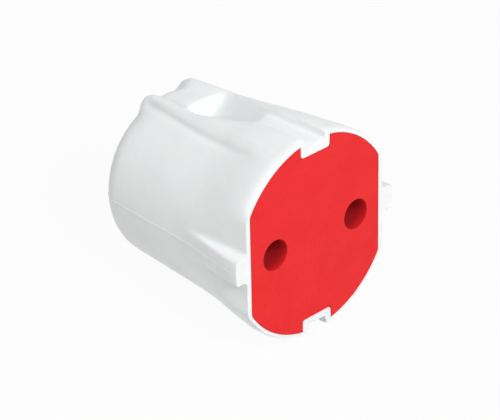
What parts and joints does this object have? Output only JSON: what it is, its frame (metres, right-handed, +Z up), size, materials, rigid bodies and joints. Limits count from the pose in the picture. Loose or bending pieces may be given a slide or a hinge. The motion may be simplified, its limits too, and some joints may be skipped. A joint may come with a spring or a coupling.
{
  "type": "unearthed female plug",
  "caption": "Cord-mounted two-pole female connector: red face insert with two pin holes in a white one-piece grip housing.",
  "frame": {"origin": "centre of the mating face, half way between the two pin holes", "axes": "-Y leaves the mating face towards the mating plug, +Y runs to the cord inlet, +X is to the right of someone who looks along +Y, +Z is up"},
  "size_m": [0.037, 0.0372, 0.0368],
  "materials": {
    "white_housing": "white moulded plastic, satin, with a fine mould line along the sides",
    "red_insert": "red moulded plastic, matt",
    "inner_cover": "plain moulded plastic",
    "contact_brass": "turned brass",
    "spring_steel": "hardened spring steel",
    "zinc_plated_steel": "zinc plated"
  },
  "bodies": {
    "root": {"housing": "white_housing", "contact_carrier": "red_insert", "terminal_cover": "inner_cover", "cover_screw": "zinc_plated_steel", "cord_clamp": "inner_cover", "housing_screw": "zinc_plated_steel", "left_contact_sleeve": "contact_brass", "left_contact_spring": "spring_steel", "left_terminal_block": "contact_brass", "left_terminal_screw": "zinc_plated_steel", "left_wire_plate": "zinc_plated_steel", "left_clamp_screw": "zinc_plated_steel", "left_clamp_nut": "zinc_plated_steel", "right_contact_sleeve": "contact_brass", "right_contact_spring": "spring_steel", "right_terminal_block": "contact_brass", "right_terminal_screw": "zinc_plated_steel", "right_wire_plate": "zinc_plated_steel", "right_clamp_screw": "zinc_plated_steel", "right_clamp_nut": "zinc_plated_steel"}
  },
  "joints": []
}
